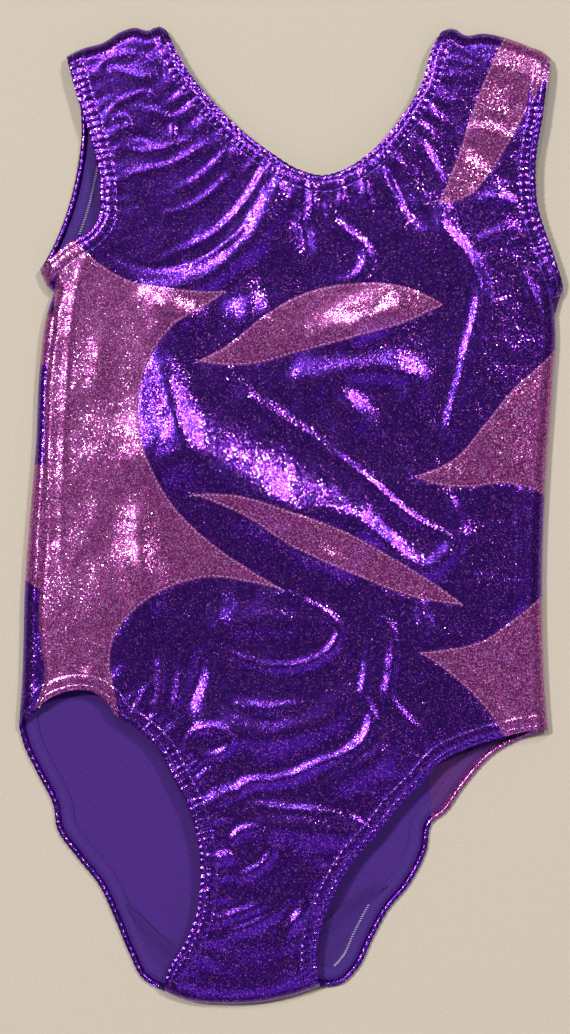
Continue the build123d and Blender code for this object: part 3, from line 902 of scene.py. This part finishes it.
CLOTH_MATERIALS = {"purple_foil": [PURPLE, INSIDE], "pink_glitter": [PINK, INSIDE_PINK]}


def slot_of(owner):
    """The material slot for a panel or an inset: purple foil for the panels, pink glitter for the insets."""
    return "purple_foil" if owner.endswith("body") else "pink_glitter"


# ==== The panels
def owners(places, side):
    """The panel or inset at each place of a layer."""
    names = np.full(len(places), "back_body", dtype=object)
    for name, ring in BACK_RINGS.items():
        names[inside(places, ring)] = name
    if side == FRONT:
        ahead = ~inside(places, SEAM_RING)
        names[ahead] = "front_body"
        for name, ring in FRONT_RINGS.items():
            names[inside(places, ring) & ahead] = name
    return names


def free_of_hems(places, side):
    """Which places of a layer its hems don't cover."""
    free = np.ones(len(places), bool)
    for lines in OPENINGS.values():
        free &= ~inside(places, band_ring(lines[side].points, HEM_WIDTH - HEM_OVERLAP))
    return free


def layer_parts(side):
    """A layer's cloth, split between its panel and insets: points and triangles of each."""
    under = HEM_WIDTH - HEM_OVERLAP
    lines = [run_on(offset(pair[side].points, under), MARGIN) for pair in OPENINGS.values()]
    rings = list(BACK_RINGS.values())
    if side == FRONT:
        lines.append(SEAM_LINE.points)
        rings += list(FRONT_RINGS.values())
    places, triangles = triangulated(side, lines, rings)
    triangles = triangles[free_of_hems(places[triangles].mean(axis=1), side)]
    points = np.column_stack([places, HEIGHTS[side](places)])
    names = owners(places[triangles].mean(axis=1), side)
    if side == BACK:
        triangles = triangles[:, ::-1]
    return {name: taken(points, triangles, names == name) for name in sorted(set(names))}


def make_panels():
    """The cloth of every panel and inset, in both layers."""
    layers = [layer_parts(FRONT), layer_parts(BACK)]
    made = {}
    for owner in sorted({*layers[FRONT], *layers[BACK]}):
        points, faces = joined([layer[owner] for layer in layers if owner in layer])
        slot = slot_of(owner)
        made[owner] = cloth(f"{owner}_cloth", points, np.array(faces), FABRIC, CLOTH_MATERIALS[slot])
        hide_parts(owner)
    return made


def make_lining():
    """The lining of the crotch: its free edge stands a little off the back panel."""
    places, triangles = triangulated(BACK, [LINING_LINE.points], [])
    middles = places[triangles].mean(axis=1)
    from_fold, _ = FOLDED_EDGE.nearest(middles)
    chosen = inside(middles, LINING_RING) & free_of_hems(middles, BACK) & (from_fold > 2)
    places, triangles = taken(places, triangles, chosen)
    from_edge, _ = LINING_LINE.nearest(places)
    curl, width = LINING_CURL
    height = lower_height(places) + FABRIC + LINING + LINING_GAP + curl * np.exp(-((from_edge / width) ** 2))
    points = np.column_stack([places, height])
    made = cloth("crotch_lining_cloth", points, triangles, LINING, [LINING_KNIT] * 2)
    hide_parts("crotch_lining")
    return made


# ==== Hems, elastics, stitches and seams
def part_of(lines, starts, ends):
    """Part of some lines side by side, from each one's own start to its end, with as many points on each."""
    rows = round((ends - starts).mean()) + 1
    along = np.arange(rows)
    first, last = round(starts.mean()), round(ends.mean())
    settled = min(HEM_SETTLED, rows // 2 - 1)
    parts = []
    for line, start, end in zip(lines, starts, ends):
        at = np.interp(
            along, [0, settled, rows - 1 - settled, rows - 1], [start, first + settled, last - settled, end],
        )
        parts.append(points_at(line, at))
    return parts


def owner_runs(lines, side):
    """The panels and insets along a hem: each one's name, and where it starts and ends on each line."""
    names = [owners(line[:, :2], side) for line in lines]
    middle = names[len(lines) // 3]
    last = len(middle) - 1
    cuts = [np.zeros(len(lines), int)]
    for cut in np.flatnonzero(middle[1:] != middle[:-1]) + 1:
        if SHORTEST_HEM < cut < last - SHORTEST_HEM:
            changes = [np.append(np.flatnonzero(own[1:] != own[:-1]) + 1, cut) for own in names]
            nearest = [change[np.argmin(np.abs(change - cut) + (change == cut) * 20)] for change in changes]
            cuts.append(np.array(nearest))
    cuts.append(np.full(len(lines), last))
    return [(middle[(a.mean() + b.mean()).astype(int) // 2], a, b) for a, b in zip(cuts, cuts[1:])]


def make_hems():
    """The hem of each opening on each layer, cut where it passes from one panel or inset to the next."""
    made = {}
    for opening in OPENINGS:
        for side, layer in enumerate(("front", "back")):
            lines = hem_lines(opening, side, HEM_PROFILES[side])
            for number, (owner, starts, ends) in enumerate(owner_runs(lines, side)):
                points, faces = strip(part_of(lines, starts, ends))
                slots = [0] * len(faces)
                if side == BACK:
                    points, faces = flipped((points, faces))
                    around = len(lines)
                    slots = [int(face % around in MATTE_SIDES) for face in range(len(faces) - 2)] + [0, 0]
                hem = piece(
                    f"{opening}_{layer}_hem_{number}", points, faces, CLOTH_MATERIALS[slot_of(owner)], slots,
                )
                made.setdefault(owner, []).append(hem)
    return made


def make_elastics():
    """The loop of elastic inside the hems of each opening."""
    for opening in OPENINGS:
        front, back = (
            strip(hem_lines(opening, side, ELASTIC_PROFILES[side]), ELASTIC_CUT, -ELASTIC_CUT)
            for side in (FRONT, BACK)
        )
        made = piece(f"{opening}_elastic_webbing", *joined([front, flipped(back)]), [RUBBER])
        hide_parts(f"{opening}_elastic")


def make_topstitch():
    """The cover stitch of each hem: two rows on the front, and the ladder of its underside on the back."""
    for opening in OPENINGS:
        parts = []
        for depth in STITCH_DEPTHS:
            (line,) = hem_lines(opening, FRONT, [(depth, -0.14, 0.3)])
            parts += stitches(line, STITCH_LENGTH, STITCH_PITCH, THREAD_RADIUS)
        near, far = hem_lines(opening, BACK, LADDER_RAILS)
        for number in range(3, len(near) - 4, LADDER_STRIDE):
            rung = halved(near[number], far[number + 1])
            parts.append(tube(rung, THREAD_RADIUS * np.array([0.8, 1.0, 0.8])))
        made = piece(f"{opening}_topstitch_rows", *joined(parts), [STITCHING])
        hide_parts(f"{opening}_topstitch")


def make_inset_stitching():
    """The small stitches along the insets' edges on the front, in a thread whose pale colour is partly
    painted highlight.
    """
    parts = []
    for ring in FRONT_RINGS.values():
        edge = resampled(ring, round(len(ring) * STRIDE * FINE / INSET_PITCH))
        x, y = edge.T
        clockwise = np.sum(x * np.roll(y, -1) - y * np.roll(x, -1)) < 0
        starts = offset(edge, INSET_ROW if clockwise else -INSET_ROW)
        ends = starts + unit(np.gradient(edge, axis=0)) * INSET_STITCH
        shown = inside(ends, RINGS[FRONT]) & ~inside(ends, SEAM_RING) & free_of_hems(ends, FRONT)
        shown &= FOLDED_EDGE.nearest(ends)[0] > INSET_PITCH
        for start, end in zip(starts[shown], ends[shown]):
            places = halved(start, end)
            spine = np.column_stack([places, upper_height(places) + np.array([-0.1, 0.06, -0.1])])
            parts.append(tube(spine, THREAD_RADIUS * np.array([0.8, 1.4, 0.8])))
    made = piece("front_inset_stitches", *joined(parts), [INSET_THREAD_PAINTED_GLINT])


def make_seams():
    """The overlocked allowance inside each seam, with the thread's ripple along it."""
    names = ("left_shoulder_seam", "right_shoulder_seam", "right_side_seam", "crotch_seam")
    edges = (LEFT_SHOULDER, RIGHT_SHOULDER, RIGHT_SIDE, CROTCH)
    runs = {name: (smooth(edge), *SEAM_DEPTHS, 0.06) for name, edge in zip(names, edges)}
    runs["left_side_seam"] = (SEAM_LINE.points, -SEAM_DEPTHS[0], SEAM_DEPTHS[0], 0.08)
    top, under = SEAM_LEVELS
    rise, wave = SEAM_RIPPLE
    for name, (line, near, far, share_cut) in runs.items():
        cut = round(share_cut * len(line))
        lines = []
        for depth, below in ((near, top), (far, top), (far, under), (near, under)):
            places = offset(line, depth)[cut:-cut]
            ripple = rise * np.cos(2 * math.pi * np.arange(len(places)) * FINE / wave)
            lines.append(np.column_stack([places, upper_height(places) - below + ripple]))
        made = piece(f"{name}_overlock", *flipped(strip(lines)), [SERGING])
        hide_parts(name)


def make_serging():
    """The pale serging that shows inside two of the back's hems: slanting loops of thread."""
    for opening, (first, last) in SERGED.items():
        line = OPENINGS[opening][BACK].points[first:last]
        near, far = offset(line, HEM_WIDTH - 0.1), offset(line, HEM_WIDTH + 0.9)
        loops = []
        for number in range(0, len(line) - 3, 3):
            places = halved(near[number], far[number + 2])
            height = lower_height(places) + np.array([2.6, 2.3, 1.3])
            loops.append(tube(np.column_stack([places, height]), np.array([0.22, 0.26, 0.2])))
        made = piece(f"{opening}_serged_edge", *joined(loops), [SERGING])


sheets = make_panels()
hems = make_hems()
sheets["lining"] = make_lining()
make_elastics()
make_topstitch()
make_inset_stitching()
make_seams()
make_serging()


# ==== Camera, floor and light
def put(name, data, place):
    """A new object in the scene."""
    made = bpy.data.objects.new(name, data)
    made.location = place
    bpy.context.scene.collection.objects.link(made)
    return made


def softbox(name, azimuth, zenith, size, power, colour):
    """A soft light over the garment. Its direction is clockwise from +Y, and away from straight up."""
    light = bpy.data.lights.new(name, "AREA")
    light.size = size
    light.energy = power
    light.color = colour
    turn, lean = math.radians(azimuth), math.radians(zenith)
    place = Vector((math.sin(lean) * math.sin(turn), math.sin(lean) * math.cos(turn), math.cos(lean)))
    made = put(name, light, place * LIGHT_DISTANCE)
    made.rotation_euler = (-place).to_track_quat("-Z", "Y").to_euler()


softbox("left", -58, 29, 0.9, 640, LAMP_WHITE)
softbox("top", -12, 31, 0.8, 180, LAMP_WHITE)
softbox("right", 46, 32, 0.8, 390, LAMP_WHITE)
softbox("low", 155, 42, 9.0, 170, VIOLET)

scene = bpy.context.scene
world = bpy.data.worlds.new("studio")
world.use_nodes = True
background = world.node_tree.nodes["Background"]
background.inputs["Color"].default_value = (1.0, 0.98, 0.96, 1)
background.inputs["Strength"].default_value = 0.14
scene.world = world
scene.view_settings.view_transform = "Standard"

floor_mesh = bpy.data.meshes.new("floor")
corners = [(x * FLOOR_REACH, y * FLOOR_REACH, 0) for x, y in ((-1, -1), (1, -1), (1, 1), (-1, 1))]
floor_mesh.from_pydata(corners, [], [(0, 1, 2, 3)])
floor_mesh.materials.append(knit("cotton_floor", (187, 179, 159), (196, 188, 168), 0.05))
floor = put("floor", floor_mesh, (0, 0, -0.3 * MM))

camera = bpy.data.cameras.new("camera")
camera.sensor_fit = "VERTICAL"
camera.sensor_height = 36
camera.lens = 135.5
scene.camera = put("camera", camera, (CAMERA_OVER[0] * MM, CAMERA_OVER[1] * MM, CAMERA_HEIGHT))
